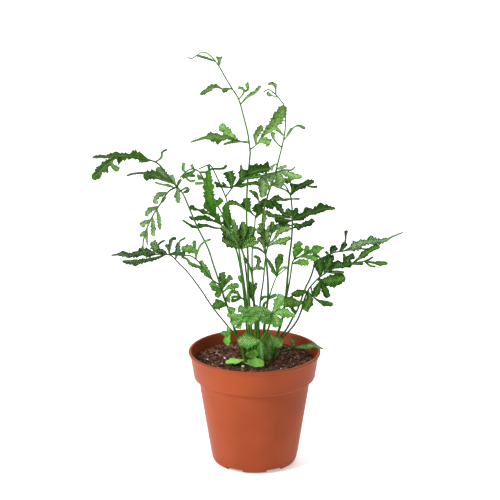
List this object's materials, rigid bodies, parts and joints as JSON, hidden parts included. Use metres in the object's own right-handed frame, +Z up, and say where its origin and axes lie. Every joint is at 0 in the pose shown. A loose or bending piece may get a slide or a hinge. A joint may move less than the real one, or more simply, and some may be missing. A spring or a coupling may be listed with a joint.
{
  "type": "potted silver lace fern",
  "caption": "Young silver lace fern with arching, variegated, lobed fronds on thin stems, standing in soil in a tapered plastic nursery pot with a rim band.",
  "frame": {"origin": "centre of the flat underside of the pot, on the surface that it stands on", "axes": "+Z up along the pot's axis, -Y towards the side that the picture shows, +X to that view's right"},
  "size_m": [0.2636, 0.2388, 0.3715],
  "materials": {
    "pot": "terracotta-coloured moulded plastic with a faint sheen",
    "soil": "crumbly brown bark and peat mix with white perlite",
    "dark_leaf": "living leaf, dark green, satin",
    "mid_leaf": "living leaf, mid green with a paler midrib, satin",
    "bright_leaf": "living leaf, fresh bright green, satin",
    "silver_leaf": "living leaf, silver-grey centre with green margins, satin",
    "pale_leaf": "young leaf, pale yellow-green, satin"
  },
  "bodies": {
    "root": {"pot": "pot", "soil": "soil", "frond_tall_left": "silver_leaf", "frond_tall_right": "silver_leaf", "frond_high_left": "mid_leaf", "frond_arched": "bright_leaf", "frond_dark_centre": "dark_leaf", "frond_bright": "bright_leaf", "frond_silver_centre": "silver_leaf", "frond_centre": "mid_leaf", "frond_right": "mid_leaf", "frond_inner_right": "silver_leaf", "frond_small_right": "bright_leaf", "frond_long_right": "dark_leaf", "frond_low_right": "mid_leaf", "frond_low_centre": "silver_leaf", "frond_low_left": "bright_leaf", "frond_long_left": "dark_leaf", "leaf_star": "bright_leaf", "leaf_silver_crown": "silver_leaf", "leaf_dark_crown": "dark_leaf", "leaf_over_rim": "silver_leaf", "seedlings": "pale_leaf", "leaf_on_soil": "pale_leaf"}
  },
  "joints": []
}
